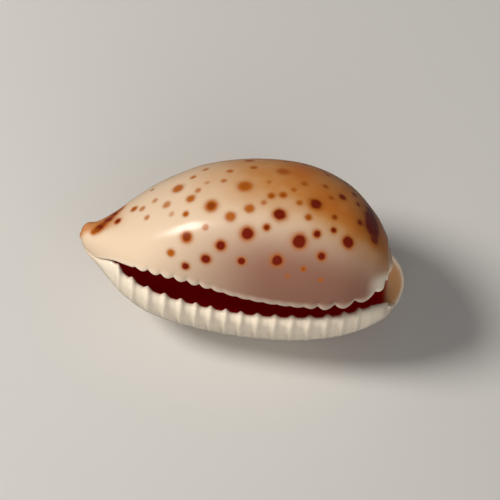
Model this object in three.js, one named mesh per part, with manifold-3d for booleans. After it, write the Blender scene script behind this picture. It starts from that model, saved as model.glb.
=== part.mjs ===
// Cowrie shell: one hollow body whose wall curls in at both lips of a long toothed aperture.
//
// The shell is drawn in its own frame first: x runs from the front tip (-) to the blunt rear (+),
// y runs from the inner-lip side (-) to the outer-lip side (+), and z rises from the base to the back.
// It is then laid on its outer-lip flank, so the aperture faces -Y, the back faces +Y and a small
// flat on the flank rests on z = 0. The origin is the middle of the bounding box's bottom face.
// All dimensions are millimetres.
import * as THREE from 'three';
import { mergeVertices } from 'three/addons/utils/BufferGeometryUtils.js';
import Module from 'manifold-3d';

const BASE_WALL = 1.25; // wall of the base beside the aperture, over the wall of the back
const MOST_BASE_WALL = 3; // limit of that wall
const WIDEST_AT = 0.4; // height of the widest line, as a share of the section's height
const FULLNESS = 0.92; // exponent that swells the base's corners a little beyond an ellipse
const INNER_LIP = 1.3; // reach of the thin inner lip's rounded edge
const OUTER_LIP = 2.2; // reach of the thick outer lip's rounded edge

const TOOTH_PITCH = 3.4; // spacing of the ridges along the outer lip
const RIDGE_HEIGHT = 0.7; // ridges of the outer lip
const SCALLOP_HEIGHT = 0.35; // scallops of the inner lip
const TOOTH_START = -29.6; // first ridge
const TOOTH_END = 27.0; // last ridge
const FRONT_ROWS = [-36.55, -36.3, -35.8, -35.0, -33.9, -32.6, -31.1]; // x of the rows before the ridges
const REAR_ROWS = [28.2, 29.2, 30.0, 30.6]; // x of the rows behind them

const PITCH_DOWN = 5; // degrees the front tip dips when the shell rests on its flank
const FLAT_DEPTH = 0.3; // depth of the flat that the shell rests on

const ARC_POINTS = 41; // points on the outer arc, and on the inner arc
const OUTER_LIP_POINTS = 5;
const INNER_LIP_POINTS = 4;
const END_ANGLES = [25, 50, 75]; // degrees, rows that round off each end of the wall
const FRONT_ROUND = 0.12; // how far the rounded wall stands past the first section
const REAR_ROUND = 0.5; // the same past the last section

// Cross sections. Columns: x, inner-lip flank y, outer-lip flank y, back z,
// base z on the inner-lip side, base z on the outer-lip side, aperture's middle y, aperture's width, wall.
const SECTIONS = [
  [-36.7, -2.6, -1.3, 15.1, 13.8, 13.8, -1.6, 0.2, 0.3],
  [-36.3, -4.1, 0.1, 16.4, 12.8, 12.9, -1.0, 0.3, 0.9],
  [-35.3, -5.6, 1.6, 17.3, 11.5, 11.6, -0.4, 0.4, 1.4],
  [-33.0, -6.9, 3.7, 17.9, 9.7, 9.7, -0.9, 0.5, 1.8],
  [-29.2, -8.8, 6.7, 21.2, 6.8, 5.9, -3.8, 0.9, 2.2],
  [-25.5, -11.3, 9.8, 24.8, 3.9, 2.9, -4.3, 3.9, 2.4],
  [-20.0, -15.0, 13.8, 29.0, 1.9, 0.5, -4.4, 6.3, 2.4],
  [-11.0, -19.1, 18.5, 33.5, 1.1, -0.6, -3.1, 7.6, 2.4],
  [0.0, -21.2, 21.2, 35.8, 0.3, -1.0, -1.5, 6.8, 2.4],
  [11.0, -21.0, 21.0, 35.5, 0.1, -0.8, -1.3, 5.6, 2.4],
  [20.0, -18.4, 18.2, 32.0, 1.0, 0.4, -1.7, 4.6, 2.4],
  [26.0, -14.2, 14.8, 26.4, 3.3, 2.5, -2.1, 4.8, 3.1],
  [29.4, -10.2, 12.2, 21.8, 5.6, 4.8, -1.4, 6.2, 4.0],
  [30.6, -8.2, 11.3, 20.2, 7.4, 6.3, 0.0, 7.8, 2.6],
  [31.2, -6.9, 10.6, 19.2, 9.0, 7.8, 0.9, 8.8, 1.1],
];

// How far each end reaches along x, at sixteen even steps from the inner lip over the back to the outer lip.
// The front starts a little later on the outer-lip side; the rear carries a rounded lobe on the inner lip
// and a flange that stands out round the canal's outer side.
const FRONT_REACH = [0.3, 0.2, 0.1, 0, 0, 0, 0, 0, 0, 0.1, 0.2, 0.4, 0.6, 0.8, 1.0, 1.1, 1.2];
const REAR_REACH = [
  -0.9, -0.6, -0.8, -1.2, -1.4, -1.3, -1.1, -0.9, 0.3, 1.6, 2.4, 2.7, 2.5, 2.0, 1.3, 0.6, 0.0,
];
const FRONT_SHARE = 0.16; // share of the section list over which the front's reach fades out
const REAR_SHARE = 0.22; // share of the section list over which the rear's reach grows in

// Smooth step from 0 at a to 1 at b.
function ease(a, b, x) {
  const t = Math.min(1, Math.max(0, (x - a) / (b - a)));
  return t * t * (3 - 2 * t);
}

// Uniform Catmull-Rom spline through a list of numbers, read at t from 0 to 1.
function spline(list, t) {
  const last = list.length - 1;
  const at = Math.min(1, Math.max(0, t)) * last;
  const i = Math.min(last - 1, Math.floor(at));
  const w = at - i;
  const before = i > 0 ? list[i - 1] : 2 * list[0] - list[1];
  const after = i + 2 <= last ? list[i + 2] : 2 * list[last] - list[last - 1];
  const a = list[i];
  const b = list[i + 1];
  return 0.5 * (2 * a + (b - before) * w + (2 * before - 5 * a + 4 * b - after) * w * w
    + (3 * a - 3 * b + after - before) * w * w * w);
}

const columns = SECTIONS[0].map((_, k) => SECTIONS.map((row) => row[k]));

// Place in the section list, 0 to 1, whose section lies at x.
function placeOf(x) {
  let low = 0;
  let high = 1;
  for (let n = 0; n < 40; n += 1) {
    const middle = (low + high) / 2;
    if (spline(columns[0], middle) < x) low = middle;
    else high = middle;
  }
  return (low + high) / 2;
}

// Point of a superellipse section, measured by angle from the base's middle over the inner-lip flank.
function onSection(s, angle, inset, insetBase) {
  const across = Math.sin(angle);
  const down = Math.cos(angle);
  const towardOuter = ease(-0.35, 0.35, -across);
  const base = s.low + (s.lowOuter - s.low) * towardOuter - insetBase;
  const half = s.half - inset;
  const bend = (v) => Math.sign(v) * Math.abs(v) ** FULLNESS;
  const y = s.y - half * (down > 0 ? bend(across) : across);
  const z = s.z - (down > 0 ? base * bend(down) : (s.high - inset) * down);
  return [y, z];
}

// Angle at which a section of the given half width has the lateral position y on its base.
function baseAngle(s, y, half) {
  const share = Math.min(0.97, Math.max(-0.97, (s.y - y) / half));
  return Math.asin(Math.sign(share) * Math.abs(share) ** (1 / FULLNESS));
}

// Rounded lip edge: a cubic curve from point a to point b that leaves along the wall's own direction.
function lipEdge(a, aBefore, b, bAfter, reach, count) {
  const unit = (p, q) => {
    const length = Math.hypot(q[0] - p[0], q[1] - p[1]);
    return [(q[0] - p[0]) / length, (q[1] - p[1]) / length];
  };
  const out = unit(aBefore, a);
  const back = unit(bAfter, b);
  const handle = reach / 0.75;
  const points = [];
  for (let k = 1; k <= count; k += 1) {
    const w = k / (count + 1);
    const c = [(1 - w) ** 3, 3 * w * (1 - w) ** 2, 3 * w * w * (1 - w), w ** 3];
    points.push([0, 1].map((d) => c[0] * a[d] + c[1] * (a[d] + out[d] * handle)
      + c[2] * (b[d] + back[d] * handle) + c[3] * b[d]));
  }
  return points;
}

// Closed outline of the wall at one place: outer arc, outer lip, inner arc back, inner lip.
function outline(place) {
  const [, near, far, top, baseInner, baseOuter, slot, gap, wall] = columns.map((c) => spline(c, place));
  const height = top - (baseInner + baseOuter) / 2;
  const z = top - (1 - WIDEST_AT) * height;
  const s = {
    y: (near + far) / 2,
    z,
    half: (far - near) / 2,
    high: top - z,
    low: z - baseInner,
    lowOuter: z - baseOuter,
  };
  const baseWall = Math.min(BASE_WALL * wall, MOST_BASE_WALL, 0.3 * height);
  const innerLip = Math.min(INNER_LIP, 0.2 * s.half);
  const outerLip = Math.min(OUTER_LIP, 0.28 * s.half);
  const arc = (inset, insetBase) => {
    const from = baseAngle(s, slot - gap / 2 - innerLip, s.half - inset);
    const to = 2 * Math.PI + baseAngle(s, slot + gap / 2 + outerLip, s.half - inset);
    return Array.from({ length: ARC_POINTS }, (_, k) => (
      onSection(s, from + ((to - from) * k) / (ARC_POINTS - 1), inset, insetBase)));
  };
  const outer = arc(0, 0);
  const inner = arc(wall, baseWall).reverse();
  const end = ARC_POINTS - 1;
  const outerEdge = lipEdge(outer[end], outer[end - 1], inner[0], inner[1], outerLip, OUTER_LIP_POINTS);
  const innerEdge = lipEdge(inner[end], inner[end - 1], outer[0], outer[1], innerLip, INNER_LIP_POINTS);
  return [...outer, ...outerEdge, ...inner, ...innerEdge];
}

// How strongly a tooth lifts each outline point: ridges on the outer lip's base, scallops on the inner lip.
function toothWeights() {
  const weights = [];
  for (let k = 0; k < ARC_POINTS; k += 1) {
    weights.push(RIDGE_HEIGHT * ease(0.9, 0.965, k / (ARC_POINTS - 1)));
  }
  for (let k = 1; k <= OUTER_LIP_POINTS; k += 1) {
    weights.push(RIDGE_HEIGHT * (1 - ease(0.4, 1, k / (OUTER_LIP_POINTS + 1))));
  }
  for (let k = 0; k < ARC_POINTS; k += 1) weights.push(0);
  for (let k = 1; k <= INNER_LIP_POINTS; k += 1) {
    weights.push(SCALLOP_HEIGHT * Math.sin((Math.PI * k) / (INNER_LIP_POINTS + 1)));
  }
  return weights;
}

// One row of 3-D points round the wall, lifted by a tooth's share (-0.5 in a groove to 0.5 on a crest).
function row(place, tooth, weights) {
  const flat = outline(place);
  const count = flat.length;
  const x = spline(columns[0], place);
  const front = 1 - ease(0, FRONT_SHARE, place);
  const rear = ease(1 - REAR_SHARE, 1, place);
  return flat.map(([y, z], i) => {
    const previous = flat[(i + count - 1) % count];
    const next = flat[(i + 1) % count];
    const length = Math.hypot(next[0] - previous[0], next[1] - previous[1]);
    const lift = (weights[i] * tooth) / length;
    const over = alongArc(i);
    const reach = front * spline(FRONT_REACH, over) + rear * spline(REAR_REACH, over);
    return [x + reach, y - (next[1] - previous[1]) * lift, z + (next[0] - previous[0]) * lift];
  });
}

// Position of outline point i between the inner lip (0) and the outer lip (1).
function alongArc(i) {
  const inner = ARC_POINTS + OUTER_LIP_POINTS;
  if (i < ARC_POINTS) return i / (ARC_POINTS - 1);
  if (i < inner) return 1;
  if (i < inner + ARC_POINTS) return (inner + ARC_POINTS - 1 - i) / (ARC_POINTS - 1);
  return 0;
}

// Outline point that lies across the wall from point i.
function across(i) {
  const count = 2 * ARC_POINTS + OUTER_LIP_POINTS + INNER_LIP_POINTS;
  return (2 * ARC_POINTS + OUTER_LIP_POINTS - 1 - i + count) % count;
}

// Rows that round off an end: the wall narrows to its own middle line while it runs on by reach.
function roundedEnd(edge, reach) {
  return END_ANGLES.map((degrees) => {
    const a = THREE.MathUtils.degToRad(degrees);
    return edge.map((p, i) => {
      const q = edge[across(i)];
      const middle = p.map((v, d) => (v + q[d]) / 2);
      const shrunk = p.map((v, d) => middle[d] + (v - middle[d]) * Math.cos(a));
      return [shrunk[0] + reach * Math.sin(a), shrunk[1], shrunk[2]];
    });
  });
}

// Places of the rows along the section list, with the tooth share that each one carries.
function rowPlaces() {
  const steps = Math.round((TOOTH_END - TOOTH_START) / (TOOTH_PITCH / 2));
  const plain = (place) => ({ place, tooth: 0 });
  const toothed = Array.from({ length: steps + 1 }, (_, k) => (
    { place: placeOf(TOOTH_START + (k * TOOTH_PITCH) / 2), tooth: k % 2 === 0 ? 0.5 : -0.5 }));
  const front = [0, ...FRONT_ROWS.map(placeOf)].map(plain);
  const rear = [...REAR_ROWS.map(placeOf), 1].map(plain);
  return [...front, ...toothed, ...rear];
}

// Closed surface: the rows joined by quads, and each end shut by a strip across the wall.
function shellGeometry() {
  const weights = toothWeights();
  const body = rowPlaces().map(({ place, tooth }) => row(place, tooth, weights));
  const rows = [
    ...roundedEnd(body[0], -FRONT_ROUND).reverse(),
    ...body,
    ...roundedEnd(body[body.length - 1], REAR_ROUND),
  ];
  const count = rows[0].length;
  const index = [];
  const quad = (a, b, c, d) => {
    index.push(a, c, b);
    index.push(a, d, c);
  };
  for (let r = 0; r + 1 < rows.length; r += 1) {
    for (let i = 0; i < count; i += 1) {
      const j = (i + 1) % count;
      quad(r * count + i, r * count + j, (r + 1) * count + j, (r + 1) * count + i);
    }
  }
  const lastRow = (rows.length - 1) * count;
  for (let n = 0; n < Math.floor(count / 2); n += 1) {
    const i = (n + count - INNER_LIP_POINTS / 2) % count;
    const j = (i + 1) % count;
    quad(across(i), across(j), j, i);
    quad(lastRow + i, lastRow + j, lastRow + across(j), lastRow + across(i));
  }
  const geometry = new THREE.BufferGeometry();
  geometry.setAttribute('position', new THREE.Float32BufferAttribute(rows.flat(2), 3));
  geometry.setIndex(index.filter((_, n) => {
    const t = n - (n % 3);
    return index[t] !== index[t + 1] && index[t + 1] !== index[t + 2] && index[t + 2] !== index[t];
  }));
  return geometry;
}

// Lays the shell on its outer-lip flank with the front tip dipped.
function layDown(geometry) {
  geometry.rotateX(-Math.PI / 2);
  geometry.rotateY(-THREE.MathUtils.degToRad(PITCH_DOWN));
  geometry.computeBoundingBox();
  const box = geometry.boundingBox;
  geometry.translate(-(box.min.x + box.max.x) / 2, -(box.min.y + box.max.y) / 2, -box.min.z - FLAT_DEPTH);
  return geometry;
}

const wasm = await Module();
wasm.setup();

function toSolid(geometry) {
  const bare = geometry.clone();
  bare.deleteAttribute('normal');
  bare.deleteAttribute('uv');
  const merged = mergeVertices(bare, 1e-5);
  return new wasm.Manifold(new wasm.Mesh({
    numProp: 3,
    vertProperties: new Float32Array(merged.attributes.position.array),
    triVerts: new Uint32Array(merged.index.array),
  }));
}

function toGeometry(solid) {
  const mesh = solid.getMesh();
  const geometry = new THREE.BufferGeometry();
  geometry.setAttribute('position', new THREE.BufferAttribute(mesh.vertProperties, 3));
  geometry.setIndex(new THREE.BufferAttribute(mesh.triVerts, 1));
  geometry.computeVertexNormals();
  return geometry;
}

const below = new THREE.BoxGeometry(100, 100, 20).translate(0, 0, -10);
const body = toSolid(layDown(shellGeometry())).subtract(toSolid(below));

const shell = new THREE.Mesh(toGeometry(body), new THREE.MeshStandardMaterial({
  color: 0xdcb894,
  roughness: 0.18,
  metalness: 0,
}));
shell.name = 'shell';

const cowrie = new THREE.Group();
cowrie.add(shell);

export default cowrie;
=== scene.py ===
"""A spotted cowrie shell lying on its outer-lip flank, its toothed aperture to the front.

The shell is drawn in its own frame, in millimetres: x from the front beak (-) to the blunt rear (+),
y from the inner-lip flank (-) to the outer-lip flank (+), z from the base up to the back.
laid_down() and placement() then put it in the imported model's frame, in metres.
"""
import math

import bpy
import numpy as np
from bpy.props import FloatProperty, FloatVectorProperty, PointerProperty
from mathutils import Matrix, Vector


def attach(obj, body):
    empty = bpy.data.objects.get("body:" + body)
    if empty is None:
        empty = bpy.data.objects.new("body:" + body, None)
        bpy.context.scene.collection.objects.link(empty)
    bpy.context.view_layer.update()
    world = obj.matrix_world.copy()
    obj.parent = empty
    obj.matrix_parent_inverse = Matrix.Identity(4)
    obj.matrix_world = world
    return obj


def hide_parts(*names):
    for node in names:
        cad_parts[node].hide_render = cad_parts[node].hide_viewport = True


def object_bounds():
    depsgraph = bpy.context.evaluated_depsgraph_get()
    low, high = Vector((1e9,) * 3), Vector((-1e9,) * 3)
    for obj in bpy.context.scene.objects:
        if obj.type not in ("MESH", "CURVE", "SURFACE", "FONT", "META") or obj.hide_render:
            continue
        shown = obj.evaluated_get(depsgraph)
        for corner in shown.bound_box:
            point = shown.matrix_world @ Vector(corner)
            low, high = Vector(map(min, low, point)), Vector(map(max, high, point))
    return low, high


bl_info = {
    "name": "Cowrie shell",
    "version": (1, 0, 0),
    "blender": (4, 5, 0),
    "location": "3D View > Sidebar > Cowrie",
    "description": "Builds a glossy spotted cowrie shell on a pale floor",
    "category": "Mesh",
}

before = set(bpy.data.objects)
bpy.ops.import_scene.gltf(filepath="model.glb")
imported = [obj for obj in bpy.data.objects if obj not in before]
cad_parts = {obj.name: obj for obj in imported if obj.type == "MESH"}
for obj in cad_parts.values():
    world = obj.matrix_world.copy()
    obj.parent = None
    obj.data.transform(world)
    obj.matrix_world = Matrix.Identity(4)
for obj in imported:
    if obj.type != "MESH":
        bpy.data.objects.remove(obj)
CAD_BOX = [list(corner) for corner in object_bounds()]

MM = 0.001

# ---------------------------------------------------------------- form of the shell, in millimetres

# Each row: x, inner flank y, outer flank y, back z, base z on the inner side, base z on the outer side,
# aperture y, aperture width, wall.
SECTIONS = np.array([
    [-36.7, -2.6, -1.3, 15.1, 13.8, 13.8, -1.6, 0.2, 0.3],
    [-36.3, -4.1, 0.1, 16.4, 12.8, 12.9, -1.0, 0.3, 0.9],
    [-35.3, -5.6, 1.6, 17.3, 11.5, 11.6, -0.4, 0.4, 1.4],
    [-33.0, -6.9, 3.7, 17.9, 9.7, 9.7, -0.9, 0.5, 1.8],
    [-29.2, -8.8, 6.7, 21.2, 6.8, 5.9, -3.8, 0.9, 2.2],
    [-25.5, -11.3, 9.8, 24.8, 3.9, 2.9, -4.3, 3.9, 2.4],
    [-20.0, -15.0, 13.8, 29.0, 1.9, 0.5, -4.4, 6.3, 2.4],
    [-11.0, -19.1, 18.5, 33.5, 1.1, -0.6, -3.1, 7.6, 2.4],
    [0.0, -21.2, 21.2, 35.8, 0.3, -1.0, -1.5, 6.8, 2.4],
    [11.0, -21.0, 21.0, 35.5, 0.1, -0.8, -1.3, 5.6, 2.4],
    [20.0, -18.4, 18.2, 32.0, 1.0, 0.4, -1.7, 4.6, 2.4],
    [26.0, -14.2, 14.8, 26.4, 3.3, 2.5, -2.1, 4.8, 3.1],
    [29.4, -10.2, 12.2, 21.8, 5.6, 4.8, -1.4, 6.2, 4.0],
    [30.6, -8.2, 11.3, 20.2, 7.4, 6.3, 0.0, 7.8, 2.6],
    [31.2, -6.9, 10.6, 19.2, 9.0, 7.8, 0.9, 8.8, 1.1],
])
# Reach of each end along x, in sixteen even steps from the inner lip over the back to the outer lip.
FRONT_REACH = np.array([0.3, 0.2, 0.1, 0.0, 0.0, 0.0, 0.0, 0.0, 0.0,
                        0.1, 0.2, 0.4, 0.6, 0.8, 1.0, 1.1, 1.2])
REAR_REACH = np.array([-1.6, -0.9, -0.8, -1.2, -1.4, -1.3, -1.1, -0.9, 0.3,
                       1.6, 2.4, 2.7, 2.5, 2.0, 1.3, 0.6, 0.0])
FRONT_SHARE = 0.16  # part of the sections over which the front's reach dies away
REAR_SHARE = 0.22
FRONT_ROUND = 0.12  # how far each end's rounding stands out
REAR_ROUND = 0.5
LAST_RING = math.radians(84.0)  # angle of the rounding's last ring; a right angle would shut it to a line

BASE_WALL = 1.25  # wall of the base over the wall of the back
MOST_BASE_WALL = 3.0
MOST_BASE_SHARE = 0.3  # of the height
ROW_SLOPE = 0.7  # how far a climbing back draws the rows together
WIDEST_AT = 0.4  # of the height
FULLNESS = 0.92  # power of the base's superellipse; 1 would be an ellipse
INNER_LIP = 1.3
MOST_INNER_LIP = 0.2  # of half the width
OUTER_LIP = 2.2
MOST_OUTER_LIP = 0.28  # of half the width
FARTHEST_LIP = 0.97  # a lip's edge from the middle, over half the width
BASE_CROSSING = 0.35  # sine of the angle either side of the middle in which the base changes height
CUBIC_BULGE = 0.75  # a cubic's bulge over the length of its handles
PITCH_DOWN = math.radians(5.0)

ARC_POINTS = 192
OUTER_LIP_POINTS = 32
INNER_LIP_POINTS = 18
BODY_ROWS = 212
END_ROWS = 6
FINE_STEPS = 4001  # places at which the crest line's length is measured
COARSE_WALL = (40, 4, 4)  # points of the arc and of each lip, for a shell that is only measured
COARSE_ROWS = 60
COARSE_END_ROWS = 3

# Crests of the outer lip's broad ridges, and middles of the inner lip's scallops, along x.
RIDGES = np.array([-32.2, -29.0, -25.9, -22.6, -18.9, -15.2, -11.8, -8.7, -5.35, -2.1, 1.2, 5.1, 8.7,
                   12.35, 16.15, 19.8, 23.1, 26.0, 28.8])
SCALLOPS = np.array([-25.3, -22.5, -19.6, -17.0, -14.1, -11.2, -8.65, -6.0, -3.2, -0.4, 2.5, 5.4, 8.3,
                     11.1, 14.0, 17.0, 21.2, 25.4, 29.6])

# Ramps from a first value to a second: of the way from crest to crest, of the share round, of the way over
# a lip, or along x.
RIDGE_FALL = (0.18, 0.45)
RIDGE_RISE = (0.45, 0.85)
RIDGE_BAND = (0.905, 0.965)
RIDGE_OVER = (0.7, 1.0)
RIDGE_FRONT = (-31.5, -27.5)
RIDGE_REAR = (24.5, 28.5)
RIDGE_MIDDLE = 0.5  # height in the profile that leaves the lip where it is
SCALLOP_BAND = (0.0, 0.018)
SCALLOP_OVER = (0.45, 0.95)
SCALLOP_FRONT = (-26.0, -22.0)
SCALLOP_MIDDLE = 0.65
SCALLOP_ROUND = 0.8  # power that rounds the lobes
SCALLOP_SIZE = 0.8  # at the front, over the set height
SCALLOP_STEPS = ((-0.58, -12.0, -3.0), (1.05, 11.0, 19.0), (-0.6, 28.5, 30.5))  # change of size, along x
SCALLOP_WAY = (0.5, -0.75)  # y and z in which a scallop hangs

# ---------------------------------------------------------------- spots

# Each row: x, share round, radius, tone from 0 to 1.
SPOTS = np.array([
    # large
    [-2.4, 0.267, 1.45, 0.45], [5.6, 0.318, 1.3, 0.45], [-9.0, 0.213, 1.35, 0.6], [5.6, 0.216, 1.45, 0.9],
    [-0.9, 0.156, 1.45, 0.9], [13.1, 0.25, 1.6, 0.8], [10.1, 0.155, 1.6, 1.0], [20.6, 0.182, 1.45, 0.95],
    [6.1, 0.106, 1.35, 1.0], [-6.0, 0.115, 1.15, 0.85], [-13.5, 0.125, 1.25, 0.65], [-9.0, 0.075, 1.1, 0.85],
    # medium
    [-4.9, 0.195, 1.05, 0.4], [-0.9, 0.219, 1.0, 0.4], [3.1, 0.179, 0.8, 0.7], [13.6, 0.182, 0.95, 0.8],
    [-1.4, 0.087, 0.95, 0.9], [15.1, 0.132, 1.0, 0.85], [18.6, 0.292, 1.1, 0.75], [-13.0, 0.043, 0.9, 0.85],
    [22.6, 0.246, 1.0, 0.7], [17.1, 0.204, 0.75, 0.75], [17.1, 0.234, 0.7, 0.6], [-16.5, 0.266, 1.2, 0.4],
    [-13.5, 0.231, 0.9, 0.4], [-16.5, 0.075, 0.8, 0.45], [24.6, 0.357, 1.0, 0.8],
    # small
    [-25.5, 0.243, 0.75, 0.5], [-23.5, 0.223, 0.65, 0.3], [-22.5, 0.188, 0.6, 0.3], [-18.5, 0.218, 0.8, 0.3],
    [-14.0, 0.193, 0.65, 0.5], [-9.5, 0.155, 0.6, 0.3], [-17.0, 0.195, 0.55, 0.2], [-12.0, 0.251, 0.6, 0.3],
    [-21.0, 0.243, 0.6, 0.25], [-13.5, 0.298, 0.6, 0.35], [-7.0, 0.278, 0.6, 0.3], [-10.5, 0.271, 0.5, 0.2],
    [-5.9, 0.308, 0.65, 0.35], [-0.9, 0.326, 0.7, 0.45], [-11.0, 0.326, 0.6, 0.3], [-22.0, 0.303, 0.5, 0.3],
    [3.6, 0.251, 0.8, 0.5], [6.1, 0.257, 0.8, 0.5], [9.6, 0.244, 0.65, 0.4], [11.6, 0.219, 0.75, 0.5],
    [10.1, 0.293, 0.75, 0.4], [14.6, 0.303, 0.75, 0.5], [16.1, 0.276, 0.65, 0.5], [21.1, 0.33, 0.8, 0.7],
    [15.1, 0.355, 0.75, 0.5], [19.1, 0.368, 0.8, 0.6], [22.1, 0.299, 0.7, 0.7], [11.6, 0.096, 0.6, 0.5],
    [8.6, 0.072, 0.55, 0.25], [15.6, 0.075, 0.55, 0.3], [2.6, 0.285, 0.5, 0.25], [8.1, 0.274, 0.55, 0.35],
    [10.1, 0.378, 0.65, 0.5], [2.1, 0.237, 0.55, 0.3], [-28.7, 0.221, 0.8, 0.75],
    # dark streak along the top of the beak, and the blotch over the rear
    [-33.7, 0.268, 0.7, 0.5], [-33.0, 0.272, 0.9, 0.6], [-32.3, 0.277, 1.1, 0.75],
    [-31.6, 0.282, 1.0, 0.6], [-30.9, 0.287, 1.15, 0.75], [-30.2, 0.292, 1.0, 0.6],
    [-29.5, 0.297, 1.1, 0.75], [-28.8, 0.302, 0.9, 0.55], [-28.1, 0.307, 0.7, 0.45],
    [24.9, 0.315, 1.8, 0.8], [25.2, 0.285, 2.5, 0.9], [25.4, 0.252, 2.6, 0.9], [26.0, 0.222, 1.7, 0.7],
])
MERGE = 5.0  # the higher, the less spots that meet run together
IN_A_SPOT = 0.02  # least distance over radius that is told apart
FAR_FROM_SPOTS = 4.0

# Spots strewn over the side that has none listed.
SCATTER_COUNT = 120
SCATTER_TRIES = 4000
SCATTER_SEED = 11
SCATTER_ALONG = (-27, 27)
SCATTER_SHARE = (0.36, 0.80)
SCATTER_RADII = [0.6, 0.75, 0.95, 1.2, 1.45]
SCATTER_CHANCES = [0.28, 0.27, 0.2, 0.15, 0.1]
SCATTER_TONE = 0.35
TONE_ALONG = 0.015  # darker towards the rear, per mm
TONE_ROUND = 0.9  # darker away from PALEST_SHARE
PALEST_SHARE = 0.52
TONE_CHANGE = (-0.15, 0.2)
TONE_LIMITS = (0.15, 1.0)
HALO_ROOM = 1.5  # room that a spot keeps round itself, over its radius
LEAST_GAP = 0.5

# ---------------------------------------------------------------- colour zones

# Each ramp runs from its first value to its second. Ramps along x:
REAR_HALF = (5.0, 25.0)
TAN_ALONG = (-24.0, 20.0)
# lilac ground with painted shade, coming on towards the rear
LILAC_SHADE_ALONG = (-24.0, 6.0)
BAND_ALONG = (-34.6, -31.6)
LOBE_ALONG = (25.0, 28.5)
FLANGE_ALONG = (30.0, 31.2)
BEAK_ALONG = (-34.0, -25.5)
STAIN_STARTS = (19.0, 26.5)
STAIN_STOPS = (29.0, 30.4)
FRONT_CANAL = (-31.0, -28.5)
REAR_CANAL = (29.2, 31.4)
# Ramps up z:
TAN_UP_FRONT = (6.0, 22.0)
TAN_UP_REAR = (1.5, 15.5)
# lilac ground with painted shade, darker towards the base
LILAC_SHADE_UP = (3.0, 14.0)
BEAK_UP = (12.2, 14.4)
STAIN_UP = (11.0, 17.0)
# Ramps of the share round:
LILAC_SHADE_SHARE = (0.80, 0.84)
BAND_SHARE = (0.795, 0.85)
LOBE_SHARE = (0.04, 0.10)
FLANGE_SHARE = (0.42, 0.48)
LIP_SHARE = (0.0, 0.012)
STAIN_SHARE = (0.36, 0.46)
CANAL_SHARE = (0.5, 0.8)
# Ramps of the way over each lip:
OUTER_DEEP = (0.62, 0.80)
INNER_DEEP = (0.35, 0.6)
# Ramps in rows from the rear edge:
PALE_RIM = (-12.0, -7.0)
CANAL_ROWS = (-14.0, -8.0)
EDGE_ROWS = (-7.5, -4.5)
# Strengths, and the tan line along the outer lip:
FRONT_TAN = 0.16
RIM_IVORY = 0.6
LIP_IVORY = 0.45
LOBE_IVORY = 0.9
STAIN = 0.5
EDGE_PALER = 0.8
LINE_SHARE = 0.903
LINE_WIDTH = 0.015

# ---------------------------------------------------------------- finish

# Scale, detail and roughness of each noise, and the part of it that counts.
BROAD_CLOUDS = (90.0, 3.0, 0.5)
FINE_CLOUDS = (420.0, 4.0, 0.6)
DENTS = (160.0, 2.0, 0.5)
CLOUDS_COUNT = (0.25, 0.75)
GLAZE_COUNT = (0.2, 0.8)

TAN_CLOUDS = (0.75, 1.2)
STAIN_CLOUDS = (0.75, 1.0)
CREAM_TO_GOLD = (0.0, 0.85)
GOLD_TO_TAN = (0.55, 1.2)
LINE_STRENGTH = 0.55
RAGGED = 0.55  # how far fine noise frays a spot
SPOT_CORE = (0.65, 1.50)  # ramps of the distance over the radius
SPOT_HALO = (0.6, 2.1)
SPOT_FADE = (0.45, 1.25)
FADED = 0.25
PALE_TO_DARK = (0.30, 0.80)
TONE_SHOWS = (0.1, 0.45)
FAINTEST = 0.30
HALO_STRENGTH = 0.46
DENT_STRENGTH = 0.06
DENT_DEPTH = 0.0004
GLAZE_ROUGHNESS = (0.19, 0.26)
GLAZE_IOR = 1.48
GLAZE_SPECULAR = 0.32
BLACK = (0.0, 0.0, 0.0, 1.0)

# ---------------------------------------------------------------- view

SIGHT_BELOW_BASE = math.radians(30.0)  # of the line of sight, in the shell's own frame
CAMERA_ROLL = math.radians(5.5)
CAMERA_AIM = (1.41, 13.96)  # right and up in the view, millimetres
AIM_DEPTH = 8.0
CAMERA_DISTANCE = 0.60  # metres, as the width that is seen at that distance
VIEW_WIDTH = 0.10835
CLIP_NEAR, CLIP_FAR = 0.01, 20.0

# ---------------------------------------------------------------- light, in metres

LIT_POINT = (0.0, 0.0, 0.02)
KEY_PLACE = (-0.50, -0.06, 0.55)
KEY_SIZE = 0.24
KEY_COLOUR = (1.0, 0.96, 0.90)
FRONT_PLACE = (0.25, -1.30, 0.70)
FRONT_SIZE = 1.80
FRONT_COLOUR = (1.0, 0.98, 0.95)
SKY_COLOUR = (1.0, 0.99, 0.97, 1)
FLOOR_ROUGHNESS = 0.85


def ease(a, b, x):
    """Smooth step: 0 up to a, 1 from b, and 3t^2 - 2t^3 between."""
    t = np.clip((x - a) / (b - a), 0.0, 1.0)
    return t * t * (3.0 - 2.0 * t)


def spline(table, t):
    """Uniform Catmull-Rom spline through the rows of table, read at t from 0 to 1."""
    last = len(table) - 1
    ends = np.concatenate([[2 * table[0] - table[1]], table, [2 * table[-1] - table[-2]]])
    at = np.clip(t, 0.0, 1.0) * last
    i = np.minimum(at.astype(int), last - 1)
    w = at - i
    if table.ndim == 2:
        w = w[:, None]
    a, b, c, d = ends[i], ends[i + 1], ends[i + 2], ends[i + 3]
    return 0.5 * (2 * b + (c - a) * w + (2 * a - 5 * b + 4 * c - d) * w**2 + (3 * b - 3 * c + d - a) * w**3)


def swell(v):
    """Superellipse bend of a sine or cosine: its sign times its size to the power FULLNESS."""
    return np.sign(v) * np.abs(v) ** FULLNESS


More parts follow.
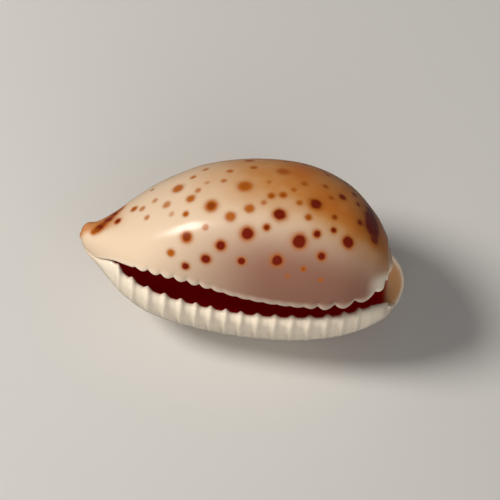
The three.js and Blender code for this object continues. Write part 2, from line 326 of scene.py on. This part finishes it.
class Wall:
    """Columns of the wall's closed outline: outer arc, outer lip, inner arc back, inner lip."""

    def __init__(self, arc, outer_lip, inner_lip):
        self.arc, self.outer_lip, self.inner_lip = arc, outer_lip, inner_lip
        self.count = 2 * arc + outer_lip + inner_lip
        even = np.linspace(0.0, 1.0, arc)
        lip_out = np.arange(1, outer_lip + 1) / (outer_lip + 1)
        lip_in = np.arange(1, inner_lip + 1) / (inner_lip + 1)
        # share: 0 at the inner lip, over the back, 1 at the outer lip
        self.share = np.concatenate([even, np.ones(outer_lip), even[::-1], np.zeros(inner_lip)])
        # over: how far round each lip, 0 on the outside and 1 on the inside
        self.over_outer = np.concatenate([np.zeros(arc), lip_out, np.ones(arc), np.zeros(inner_lip)])
        self.over_inner = np.concatenate([np.zeros(arc), np.zeros(outer_lip), np.ones(arc), 1.0 - lip_in])
        self.inside = np.concatenate([np.zeros(arc), lip_out, np.ones(arc), 1.0 - lip_in])
        index = np.arange(self.count)
        self.across = (2 * arc + outer_lip - 1 - index) % self.count


def lip_edge(a, a_before, b, b_after, reach, count):
    """Cubic curve from a to b that leaves each along the wall and bulges by reach."""
    out = (a - a_before) / np.linalg.norm(a - a_before, axis=-1, keepdims=True)
    back = (b - b_after) / np.linalg.norm(b - b_after, axis=-1, keepdims=True)
    w = (np.arange(1, count + 1) / (count + 1))[None, :, None]
    handle = (reach / CUBIC_BULGE)[..., None]
    p0, p3 = a[:, None], b[:, None]
    p1, p2 = p0 + out[:, None] * handle, p3 + back[:, None] * handle
    return (1 - w) ** 3 * p0 + 3 * w * (1 - w) ** 2 * p1 + 3 * w * w * (1 - w) * p2 + w**3 * p3


def outlines(place, wall):
    """Outline of the wall at each place: quarter superellipses about the widest line, outside and inside."""
    value = spline(SECTIONS, place)
    near, far, top, base_in, base_out, slot, gap, thick = (value[:, k][:, None] for k in range(1, 9))
    middle, half = 0.5 * (near + far), 0.5 * (far - near)
    base = 0.5 * (base_in + base_out)
    waist = base + WIDEST_AT * (top - base)
    thick_base = np.minimum(np.minimum(BASE_WALL * thick, MOST_BASE_WALL), MOST_BASE_SHARE * (top - base))
    inner_lip = np.minimum(INNER_LIP, MOST_INNER_LIP * half)
    outer_lip = np.minimum(OUTER_LIP, MOST_OUTER_LIP * half)

    def base_angle(y, width):
        part = np.clip((middle - y) / width, -FARTHEST_LIP, FARTHEST_LIP)
        return np.arcsin(np.sign(part) * np.abs(part) ** (1.0 / FULLNESS))

    def arc(inset, inset_base):
        start = base_angle(slot - gap / 2 - inner_lip, half - inset)
        stop = 2 * np.pi + base_angle(slot + gap / 2 + outer_lip, half - inset)
        angle = start + (stop - start) * np.linspace(0.0, 1.0, wall.arc)[None, :]
        sine, cosine = np.sin(angle), np.cos(angle)
        down = cosine > 0
        toward_outer = ease(-BASE_CROSSING, BASE_CROSSING, -sine)
        drop = (waist - base_in) + (base_in - base_out) * toward_outer - inset_base
        y = middle - (half - inset) * np.where(down, swell(sine), sine)
        z = waist - np.where(down, drop * swell(cosine), (top - waist - inset) * cosine)
        return np.stack([y, z], axis=-1)

    outer = arc(0.0, 0.0)
    inner = arc(thick, thick_base)[:, ::-1]
    edge_out = lip_edge(outer[:, -1], outer[:, -2], inner[:, 0], inner[:, 1], outer_lip, wall.outer_lip)
    edge_in = lip_edge(inner[:, -1], inner[:, -2], outer[:, 0], outer[:, 1], inner_lip, wall.inner_lip)
    return value[:, 0], np.concatenate([outer, edge_out, inner, edge_in], axis=1)


def end_reach(place, wall):
    """How far each point runs on along x at the two ends."""
    front = (1 - ease(0, FRONT_SHARE, place))[:, None] * spline(FRONT_REACH, wall.share)[None, :]
    rear = ease(1 - REAR_SHARE, 1, place)[:, None] * spline(REAR_REACH, wall.share)[None, :]
    return front + rear


def ridge_profile(x):
    """Broad ridges, narrow grooves: flat round each crest, a steep fall, then a slow rise to the next."""
    phase = np.interp(x, RIDGES, np.arange(len(RIDGES)))
    part = phase - np.floor(phase)
    return np.where(part < RIDGE_FALL[1], 1 - ease(*RIDGE_FALL, part), ease(*RIDGE_RISE, part))


def scallop_profile(x):
    """Round lobes with narrow notches: the size of a sine of the place between scallops."""
    phase = np.interp(x, SCALLOPS, np.arange(len(SCALLOPS))) + 0.5
    return np.abs(np.sin(np.pi * phase)) ** SCALLOP_ROUND


def teeth(x, points, wall, settings):
    """Lift ridges on the outer lip along the outline's own normal, and hang scallops from the inner lip."""
    step = np.roll(points, -1, axis=1) - np.roll(points, 1, axis=1)
    normal = np.stack([step[..., 1], -step[..., 0]], axis=-1)
    normal /= np.linalg.norm(normal, axis=-1, keepdims=True)
    band = ease(*RIDGE_BAND, wall.share) * (1 - ease(*RIDGE_OVER, wall.over_outer)) * (1 - wall.over_inner)
    size = ease(*RIDGE_FRONT, x) * (1 - ease(*RIDGE_REAR, x)) * settings.ridge_height / MM
    lift = (ridge_profile(x) - RIDGE_MIDDLE) * size * band
    lip = (1 - ease(*SCALLOP_BAND, wall.share)) * (1 - ease(*SCALLOP_OVER, wall.over_inner))
    lip = lip * (wall.inside < 1.0)
    size = SCALLOP_SIZE + sum(step * ease(start, stop, x) for step, start, stop in SCALLOP_STEPS)
    size = size * ease(*SCALLOP_FRONT, x) * settings.scallop_height / MM
    hang = (scallop_profile(x) - SCALLOP_MIDDLE) * size * lip
    return points + normal * lift[..., None] + np.array(SCALLOP_WAY) * hang[..., None]


def surface(wall, rows, end_rows, settings=None):
    """Grid of 3-D points: the outlines lofted along x, each end rounded onto the wall's middle line.

    Rows keep even steps of the crest line's length, its climb counted ROW_SLOPE times. Without settings the
    lips have no teeth.
    """
    fine = np.linspace(0.0, 1.0, FINE_STEPS)
    crest = spline(SECTIONS, fine)[:, (0, 3)] * (1.0, ROW_SLOPE)
    run = np.concatenate([[0.0], np.cumsum(np.linalg.norm(np.diff(crest, axis=0), axis=1))])
    place = np.interp(np.linspace(0.0, run[-1], rows), run, fine)
    x, points = outlines(place, wall)
    x = x[:, None] + end_reach(place, wall)
    if settings is not None:
        points = teeth(x, points, wall, settings)
    grid = np.concatenate([x[..., None], points], axis=-1)

    def rounded(edge, reach):
        middle = 0.5 * (edge + edge[wall.across])
        angle = np.linspace(0, LAST_RING, end_rows + 1)[1:, None, None]
        ring = middle + (edge - middle) * np.cos(angle)
        ring[..., 0] += reach * np.sin(angle[..., 0])
        return ring

    front = rounded(grid[0], -FRONT_ROUND)[::-1]
    rear = rounded(grid[-1], REAR_ROUND)
    return np.concatenate([front, grid, rear], axis=0)


def laid_down(points):
    """Shell's own axes, mm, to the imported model's, m: base turned to the front, the beak dipped about Y."""
    x, y, z = points[..., 0], points[..., 1], points[..., 2]
    up = -y
    c, s = math.cos(PITCH_DOWN), math.sin(PITCH_DOWN)
    return np.stack([x * c - up * s, z, x * s + up * c], axis=-1) * MM


def placement(points):
    """Shift that centres laid-down points in the frame's box in X and Y and brings them to its top in Z."""
    low, high = np.array(CAD_BOX[0]), np.array(CAD_BOX[1])
    flat = points.reshape(-1, 3)
    shift = 0.5 * (low + high) - 0.5 * (flat.min(axis=0) + flat.max(axis=0))
    shift[2] = high[2] - flat[:, 2].max()
    return shift


def spot_table(grid, wall):
    """Rows of x, y, z, radius, tone: listed spots, then seeded ones that keep clear of them."""
    outer = grid[END_ROWS:-END_ROWS, :wall.arc]

    def on_shell(x, share):
        column = int(round(share * (wall.arc - 1)))
        row = int(np.argmin(np.abs(outer[:, column, 0] - x)))
        return outer[row, column]

    spots = [[*on_shell(x, share), radius, tone] for x, share, radius, tone in SPOTS]
    rng = np.random.default_rng(SCATTER_SEED)
    placed = 0
    for _ in range(SCATTER_TRIES):
        if placed >= SCATTER_COUNT:
            break
        x, share = rng.uniform(*SCATTER_ALONG), rng.uniform(*SCATTER_SHARE)
        radius = rng.choice(SCATTER_RADII, p=SCATTER_CHANCES)
        tone = SCATTER_TONE + TONE_ALONG * x + TONE_ROUND * abs(share - PALEST_SHARE)
        tone = np.clip(tone + rng.uniform(*TONE_CHANGE), *TONE_LIMITS)
        here = on_shell(x, share)
        done = np.array(spots)
        gap = np.linalg.norm(done[:, :3] - here, axis=1) - HALO_ROOM * (done[:, 3] + radius)
        if gap.min() > LEAST_GAP:
            spots.append([*here, radius, tone])
            placed += 1
    return np.array(spots)


def spot_fields(points, spots):
    """Distance to the spots over their radius, run together where spots meet, and the nearest spot's tone.

    With d the distance to one spot over its radius, the joint distance is (sum of d^-MERGE)^(-1/MERGE).
    """
    nearest = np.full(len(points), np.inf)
    tone = np.zeros(len(points))
    joint = np.zeros(len(points))
    for x, y, z, radius, dark in spots:
        d = np.maximum(np.linalg.norm(points - (x, y, z), axis=1) / radius, IN_A_SPOT)
        joint += d ** -MERGE
        nearer = d < nearest
        nearest[nearer] = d[nearer]
        tone[nearer] = dark
    return np.minimum(joint ** (-1.0 / MERGE), FAR_FROM_SPOTS), tone


def colour_fields(grid, wall):
    """Soft masks, 0 to 1, for the colour zones of the shell, in the shell's own frame; the lilac one holds
    painted shade and the maroon one also drives a painted glow.
    """
    x, y, z = grid[..., 0], grid[..., 1], grid[..., 2]
    share = np.broadcast_to(wall.share, x.shape)
    inside = np.broadcast_to(wall.inside, x.shape)
    over_outer = np.broadcast_to(wall.over_outer, x.shape)
    row = np.arange(len(grid))[:, None] - (len(grid) - 1)
    behind = ease(*REAR_HALF, x)
    low, full = (front + (rear - front) * behind for front, rear in zip(TAN_UP_FRONT, TAN_UP_REAR))
    fields = {}
    fields["back_tan"] = ease(low, full, z) * (FRONT_TAN + (1 - FRONT_TAN) * ease(*TAN_ALONG, x))
    # Lower flanks: partly a real lilac tint, partly painted shade, darker towards the base and the rear.
    low_flank = (1 - ease(*LILAC_SHADE_UP, z)) * (1 - ease(*LILAC_SHADE_SHARE, share))
    fields["lilac_and_shade"] = low_flank * ease(*LILAC_SHADE_ALONG, x)
    band = ease(*BAND_SHARE, share) * ease(*BAND_ALONG, x)
    flange = ease(*FLANGE_ALONG, x) * ease(*FLANGE_SHARE, share)
    rim = RIM_IVORY * ease(*PALE_RIM, row)
    lobe = ease(*LOBE_ALONG, x) * (1 - ease(*LOBE_SHARE, share))
    inner_lip = LIP_IVORY * (1 - ease(*LIP_SHARE, share)) + LOBE_IVORY * lobe
    fields["lip_ivory"] = np.maximum.reduce([band, flange, np.broadcast_to(rim, x.shape), inner_lip])
    fields["rim_tan"] = np.exp(-((share - LINE_SHARE) / LINE_WIDTH) ** 2)
    beak = (1 - ease(*BEAK_ALONG, x)) * ease(*BEAK_UP, z)
    rear = ease(*STAIN_STARTS, x) * (1 - ease(*STAIN_STOPS, x)) * ease(*STAIN_UP, z)
    rear = rear * (1 - ease(*STAIN_SHARE, share))
    fields["tip_orange"] = np.maximum(beak, STAIN * rear)
    past_outer_lip = ease(*OUTER_DEEP, over_outer) * (share >= 1.0)
    past_inner_lip = ease(*INNER_DEEP, inside) * (share <= 0.0)
    maroon = np.maximum.reduce([past_outer_lip, past_inner_lip, inside >= 1.0])
    canal_front = (1 - ease(*FRONT_CANAL, x)) * ease(*CANAL_SHARE, share)
    canal_rear = np.maximum(ease(*REAR_CANAL, x), ease(*CANAL_ROWS, row))
    # Maroon inside; the same mask drives the painted glow.
    fields["maroon_and_glow"] = maroon * (1 - canal_front) * (1 - canal_rear)
    fields["canal_brown"] = maroon * canal_rear * (1 - EDGE_PALER * ease(*EDGE_ROWS, row))
    return fields


def closed_faces(rows, wall):
    """Quads between neighbouring rows and columns, and a strip across the wall at each end."""
    n = wall.count
    r, i = np.meshgrid(np.arange(rows - 1), np.arange(n), indexing="ij")
    j = (i + 1) % n
    side = np.stack([r * n + i, (r + 1) * n + i, (r + 1) * n + j, r * n + j], axis=-1).reshape(-1, 4)
    k = (np.arange(n // 2 - 1) + n - wall.inner_lip // 2) % n
    m = (k + 1) % n
    last = (rows - 1) * n
    front = np.stack([k, m, wall.across[m], wall.across[k]], axis=-1)
    rear = last + np.stack([wall.across[k], wall.across[m], m, k], axis=-1)
    return np.concatenate([side, front, rear])


def mesh_object(name, points, faces, fields):
    """Mesh object from arrays of points (metres) and quads, smooth, with one float attribute per field."""
    mesh = bpy.data.meshes.new(name)
    mesh.vertices.add(len(points))
    mesh.vertices.foreach_set("co", points.astype(np.float32).ravel())
    mesh.loops.add(faces.size)
    mesh.loops.foreach_set("vertex_index", faces.astype(np.int32).ravel())
    mesh.polygons.add(len(faces))
    mesh.polygons.foreach_set("loop_start", np.arange(0, faces.size, 4, dtype=np.int32))
    mesh.polygons.foreach_set("use_smooth", np.ones(len(faces), dtype=bool))
    mesh.update(calc_edges=True)
    if mesh.validate():
        raise RuntimeError(f"{name}: the mesh had faults")
    for key, values in fields.items():
        layer = mesh.attributes.new(key, "FLOAT", "POINT")
        layer.data.foreach_set("value", values.astype(np.float32).ravel())
    thing = bpy.data.objects.new(name, mesh)
    bpy.context.scene.collection.objects.link(thing)
    return thing


# ---------------------------------------------------------------- material


class Nodes:
    """Short way to add and join shader nodes."""

    def __init__(self, tree):
        self.tree = tree

    def add(self, kind, **values):
        """New node of a kind, with its properties set."""
        node = self.tree.nodes.new(kind)
        for key, value in values.items():
            setattr(node, key, value)
        return node

    def join(self, source, target):
        """Link an output to an input."""
        self.tree.links.new(source, target)

    def feed(self, socket, value):
        """Link value to the input if it is an output, or set the input to it."""
        if isinstance(value, bpy.types.NodeSocket):
            self.join(value, socket)
        else:
            socket.default_value = value

    def field(self, name):
        """Read one of the mesh's float attributes."""
        return self.add("ShaderNodeAttribute", attribute_name=name).outputs["Fac"]

    def math(self, operation, a, b=0.0, clamp=False):
        """Sum, difference or product of two values."""
        node = self.add("ShaderNodeMath", operation=operation, use_clamp=clamp)
        self.feed(node.inputs[0], a)
        self.feed(node.inputs[1], b)
        return node.outputs[0]

    def span(self, value, low, high, start=0.0, stop=1.0):
        """Smooth step from start at low to stop at high."""
        node = self.add("ShaderNodeMapRange", interpolation_type="SMOOTHSTEP")
        for socket, v in zip(node.inputs[:5], (value, low, high, start, stop)):
            self.feed(socket, v)
        return node.outputs[0]

    def blend(self, amount, a, b):
        """Colour a at amount 0, colour b at 1."""
        node = self.add("ShaderNodeMix", data_type="RGBA")
        self.feed(node.inputs[0], amount)
        self.feed(node.inputs[6], a)
        self.feed(node.inputs[7], b)
        return node.outputs[2]

    def noise(self, place, scale, detail, roughness):
        """Noise from 0 to 1 about its mean of a half."""
        node = self.add("ShaderNodeTexNoise")
        self.join(place, node.inputs["Vector"])
        node.inputs["Scale"].default_value = scale
        node.inputs["Detail"].default_value = detail
        node.inputs["Roughness"].default_value = roughness
        return node.outputs["Fac"]


def shell_material(settings):
    """Polished shell: masks blend the ground colours, with painted shade on the lower flanks, ringed spots
    lie on them, maroon fills the inside and a painted glow lights it.

    A spot's reach is the distance from its middle over its radius, roughened by fine noise.
    """
    material = bpy.data.materials.new("polished_shell")
    material.use_nodes = True
    tree = material.node_tree
    tree.nodes.clear()
    n = Nodes(tree)
    place = n.add("ShaderNodeTexCoord").outputs["Object"]
    broad = n.noise(place, *BROAD_CLOUDS)
    fine = n.noise(place, *FINE_CLOUDS)
    dents = n.noise(place, *DENTS)

    clouded = n.span(broad, *CLOUDS_COUNT, *TAN_CLOUDS)
    tan = n.math("MULTIPLY", n.field("back_tan"), clouded, clamp=True)
    colour = n.blend(n.span(tan, *CREAM_TO_GOLD), (*settings.cream, 1), (*settings.gold, 1))
    colour = n.blend(n.span(tan, *GOLD_TO_TAN), colour, (*settings.tan, 1))
    # Lilac tint and painted shade on the lower flanks.
    colour = n.blend(n.field("lilac_and_shade"), colour, (*settings.lilac_with_shade, 1))
    stain = n.math("MULTIPLY", n.field("tip_orange"), n.span(fine, *CLOUDS_COUNT, *STAIN_CLOUDS))
    colour = n.blend(stain, colour, (*settings.orange, 1))
    colour = n.blend(n.field("lip_ivory"), colour, (*settings.ivory, 1))
    colour = n.blend(n.math("MULTIPLY", n.field("rim_tan"), LINE_STRENGTH), colour, (*settings.rim, 1))

    ragged = n.math("MULTIPLY", n.math("SUBTRACT", fine, 0.5), RAGGED)
    reach = n.math("ADD", n.field("spot_reach"), ragged)
    tone = n.field("spot_tone")
    strength = n.span(tone, *TONE_SHOWS, FAINTEST, 1.0)
    core = n.math("MULTIPLY", n.span(reach, *SPOT_CORE, 1.0, 0.0), strength)
    halo = n.math("MULTIPLY", n.span(reach, *SPOT_HALO, 1.0, 0.0), strength)
    depth = n.math("MULTIPLY", tone, n.span(reach, *SPOT_FADE, 1.0, FADED))
    spot = n.blend(n.span(depth, *PALE_TO_DARK), (*settings.spot_pale, 1), (*settings.spot_dark, 1))
    colour = n.blend(n.math("MULTIPLY", halo, HALO_STRENGTH), colour, (*settings.spot_halo, 1))
    colour = n.blend(core, colour, spot)

    # Mask of the maroon inside, which also carries a painted glow.
    inside = n.field("maroon_and_glow")
    colour = n.blend(n.field("canal_brown"), colour, (*settings.canal, 1))
    colour = n.blend(inside, colour, (*settings.maroon, 1))

    bump = n.add("ShaderNodeBump")
    bump.inputs["Strength"].default_value = DENT_STRENGTH
    bump.inputs["Distance"].default_value = DENT_DEPTH
    n.join(dents, bump.inputs["Height"])
    shader = n.add("ShaderNodeBsdfPrincipled")
    n.join(colour, shader.inputs["Base Color"])
    n.join(n.span(fine, *GLAZE_COUNT, *GLAZE_ROUGHNESS), shader.inputs["Roughness"])
    n.join(bump.outputs["Normal"], shader.inputs["Normal"])
    shader.inputs["IOR"].default_value = GLAZE_IOR
    shader.inputs["Specular IOR Level"].default_value = GLAZE_SPECULAR
    # Painted glow: the inside emits a little red light that stands in for light in the shaded hollow.
    n.join(n.blend(inside, BLACK, (*settings.painted_glow, 1)), shader.inputs["Emission Color"])
    shader.inputs["Emission Strength"].default_value = 1.0
    out = n.add("ShaderNodeOutputMaterial")
    n.join(shader.outputs[0], out.inputs["Surface"])
    return material


def plain_material(name, colour, roughness):
    """Even matt material for the floor."""
    material = bpy.data.materials.new(name)
    material.use_nodes = True
    shader = material.node_tree.nodes["Principled BSDF"]
    shader.inputs["Base Color"].default_value = (*colour, 1)
    shader.inputs["Roughness"].default_value = roughness
    return material


# ---------------------------------------------------------------- settings


class ShellSettings(bpy.types.PropertyGroup):
    """Sizes and colours of the shell that a user would change."""

    ridge_height: FloatProperty(name="Ridge height", description="Height of the outer lip's ridges",
                                default=0.0007, unit="LENGTH")
    scallop_height: FloatProperty(name="Scallop height", description="Drop of the inner lip's scallops",
                                  default=0.0011, unit="LENGTH")
    cream: FloatVectorProperty(name="Cream", description="Pale ground of the front and flanks",
                               default=(0.82, 0.63, 0.45), subtype="COLOR")
    gold: FloatVectorProperty(name="Gold", description="Middle ground between cream and tan",
                              default=(0.63, 0.28, 0.075), subtype="COLOR")
    tan: FloatVectorProperty(name="Tan", description="Warm ground of the back",
                             default=(0.58, 0.145, 0.01), subtype="COLOR")
    # Lilac ground darkened with painted shade.
    lilac_with_shade: FloatVectorProperty(name="Lilac", description="Pinkish ground of the lower flanks",
                               default=(0.33, 0.155, 0.105), subtype="COLOR")
    ivory: FloatVectorProperty(name="Ivory", description="Ground of the lips and teeth",
                               default=(0.88, 0.77, 0.62), subtype="COLOR")
    rim: FloatVectorProperty(name="Rim", description="Tan line along the outer lip's edge",
                             default=(0.5, 0.3, 0.15), subtype="COLOR")
    orange: FloatVectorProperty(name="Orange", description="Stain at the beak and the rear",
                                default=(0.58, 0.18, 0.010), subtype="COLOR")
    spot_dark: FloatVectorProperty(name="Dark spot", description="Middle of a strong spot",
                                   default=(0.18, 0.010, 0.0005), subtype="COLOR")
    spot_pale: FloatVectorProperty(name="Pale spot", description="Middle of a weak spot",
                                   default=(0.47, 0.12, 0.006), subtype="COLOR")
    spot_halo: FloatVectorProperty(name="Spot halo", description="Soft ring round a spot",
                                   default=(0.45, 0.15, 0.03), subtype="COLOR")
    canal: FloatVectorProperty(name="Canal", description="Inner side of the rear canal",
                               default=(0.62, 0.32, 0.14), subtype="COLOR")
    maroon: FloatVectorProperty(name="Maroon", description="Inside of the shell",
                                default=(0.3, 0.008, 0.006), subtype="COLOR")
    # Painted glow: emission colour that brightens the shaded inside of the shell.
    painted_glow: FloatVectorProperty(name="Glow", description="Light that comes through the wall to the inside",
                              default=(0.030, 0.0, 0.0), subtype="COLOR")


class StageSettings(bpy.types.PropertyGroup):
    """Floor and light."""

    floor_size: FloatProperty(name="Floor size", description="Side of the square floor",
                              default=6.0, unit="LENGTH")
    floor_colour: FloatVectorProperty(name="Floor colour", description="Pale floor",
                                      default=(0.70, 0.69, 0.67), subtype="COLOR")
    key_power: FloatProperty(name="Key power", description="Power of the main soft light",
                             default=4.3, unit="POWER")
    front_power: FloatProperty(name="Front power", description="Power of the broad front light",
                               default=8.5, unit="POWER")
    sky_strength: FloatProperty(name="Sky strength", description="Even light from all round", default=0.12)
    backdrop: FloatProperty(name="Backdrop", description="Brightness of the background behind the floor",
                            default=0.55)
    sensor: FloatProperty(name="Sensor width", description="Camera sensor width in millimetres",
                          default=36.0, unit="CAMERA")


# ---------------------------------------------------------------- operators


class COWRIE_OT_shell(bpy.types.Operator):
    """Build the shell as one lofted, toothed, hollow surface"""

    bl_idname = "cowrie.make_shell"
    bl_label = "Make the shell"

    def execute(self, context):
        settings = context.scene.cowrie_shell
        wall = Wall(ARC_POINTS, OUTER_LIP_POINTS, INNER_LIP_POINTS)
        grid = surface(wall, BODY_ROWS, END_ROWS, settings)
        world = laid_down(grid)
        world = np.clip(world + placement(world), CAD_BOX[0], CAD_BOX[1])
        fields = colour_fields(grid, wall)
        reach, tone = spot_fields(grid.reshape(-1, 3), spot_table(grid, wall))
        outside = np.broadcast_to(wall.inside <= 0.0, grid.shape[:2]).ravel()
        fields["spot_reach"] = np.where(outside, reach, FAR_FROM_SPOTS)
        fields["spot_tone"] = tone
        faces = closed_faces(len(grid), wall)
        shell = mesh_object("cowrie_shell", world.reshape(-1, 3), faces, fields)
        shell.data.materials.append(shell_material(settings))
        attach(shell, "root")
        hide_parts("shell")
        return {"FINISHED"}


def soft_light(name, place, size, power, colour):
    """Round area light at place, turned towards the lit point."""
    lamp = bpy.data.lights.new(name, "AREA")
    lamp.energy, lamp.size, lamp.color = power, size, colour
    lamp.shape = "DISK"
    thing = bpy.data.objects.new(name, lamp)
    thing.location = place
    thing.rotation_euler = (Vector(LIT_POINT) - Vector(place)).to_track_quat("-Z", "Y").to_euler()
    bpy.context.scene.collection.objects.link(thing)
    return thing


def make_camera(sensor):
    """Camera at a set distance from the aim point, looking up at the base from the inner-lip side.

    The aim point is given by its right, up and depth in the view, and takes the shell's own way to its
    place: laid_down(), then the shift that a coarse shell without teeth would get.
    """
    coarse = laid_down(surface(Wall(*COARSE_WALL), COARSE_ROWS, COARSE_END_ROWS))
    along = np.array([1.0, 0.0, 0.0])
    sight = np.array([0.0, math.cos(SIGHT_BELOW_BASE), math.sin(SIGHT_BELOW_BASE)])
    upright = np.array([0.0, -math.sin(SIGHT_BELOW_BASE), math.cos(SIGHT_BELOW_BASE)])
    c, s = math.cos(CAMERA_ROLL), math.sin(CAMERA_ROLL)
    right, up = along * c + upright * s, upright * c - along * s
    aim = right * CAMERA_AIM[0] + up * CAMERA_AIM[1] + sight * AIM_DEPTH
    aim = Vector(laid_down(aim) + placement(coarse))
    right, up, sight = (Vector(laid_down(v) / MM) for v in (right, up, sight))
    camera = bpy.data.cameras.new("camera")
    camera.sensor_width = sensor
    camera.lens = sensor * CAMERA_DISTANCE / VIEW_WIDTH
    camera.clip_start, camera.clip_end = CLIP_NEAR, CLIP_FAR
    thing = bpy.data.objects.new("camera", camera)
    turn = Matrix((right, up, -sight)).transposed()
    thing.matrix_world = Matrix.Translation(aim - sight * CAMERA_DISTANCE) @ turn.to_4x4()
    bpy.context.scene.collection.objects.link(thing)
    return thing


class COWRIE_OT_stage(bpy.types.Operator):
    """Make the floor, the soft lights and the camera"""

    bl_idname = "cowrie.make_stage"
    bl_label = "Make the stage"

    def execute(self, context):
        settings = context.scene.cowrie_stage
        half = settings.floor_size / 2
        mesh = bpy.data.meshes.new("floor")
        corners = [(-half, -half, 0), (half, -half, 0), (half, half, 0), (-half, half, 0)]
        mesh.from_pydata(corners, [], [(0, 1, 2, 3)])
        floor = bpy.data.objects.new("floor", mesh)
        floor.data.materials.append(plain_material("floor_matt", settings.floor_colour, FLOOR_ROUGHNESS))
        context.scene.collection.objects.link(floor)
        floor.visible_glossy = False

        world = bpy.data.worlds.new("soft_sky")
        world.use_nodes = True
        sky = world.node_tree.nodes["Background"]
        sky.inputs["Color"].default_value = SKY_COLOUR
        n = Nodes(world.node_tree)
        seen = n.add("ShaderNodeLightPath").outputs["Is Camera Ray"]
        n.join(n.span(seen, 0.0, 1.0, settings.sky_strength, settings.backdrop), sky.inputs["Strength"])
        context.scene.world = world
        context.scene.view_settings.view_transform = "Standard"
        soft_light("key_light", KEY_PLACE, KEY_SIZE, settings.key_power, KEY_COLOUR)
        front = soft_light("front_light", FRONT_PLACE, FRONT_SIZE, settings.front_power, FRONT_COLOUR)
        front.visible_glossy = False

        context.scene.camera = make_camera(settings.sensor)
        return {"FINISHED"}


class COWRIE_PT_panel(bpy.types.Panel):
    """Lists the shell's makers and settings"""

    bl_idname = "COWRIE_PT_panel"
    bl_label = "Cowrie"
    bl_space_type = "VIEW_3D"
    bl_region_type = "UI"
    bl_category = "Cowrie"

    def draw(self, context):
        for maker, group in (("cowrie.make_shell", context.scene.cowrie_shell),
                             ("cowrie.make_stage", context.scene.cowrie_stage)):
            self.layout.operator(maker)
            for name in group.__annotations__:
                self.layout.prop(group, name)


CLASSES = (ShellSettings, StageSettings, COWRIE_OT_shell, COWRIE_OT_stage, COWRIE_PT_panel)


def register():
    """Register the classes and hang the settings on the scene."""
    for each in CLASSES:
        bpy.utils.register_class(each)
    bpy.types.Scene.cowrie_shell = PointerProperty(type=ShellSettings)
    bpy.types.Scene.cowrie_stage = PointerProperty(type=StageSettings)


def unregister():
    """Undo register."""
    del bpy.types.Scene.cowrie_stage
    del bpy.types.Scene.cowrie_shell
    for each in reversed(CLASSES):
        bpy.utils.unregister_class(each)


def main():
    """Build everything in order."""
    register()
    bpy.ops.cowrie.make_shell()
    bpy.ops.cowrie.make_stage()
    bpy.context.view_layer.update()


if __name__ == "__main__":
    main()
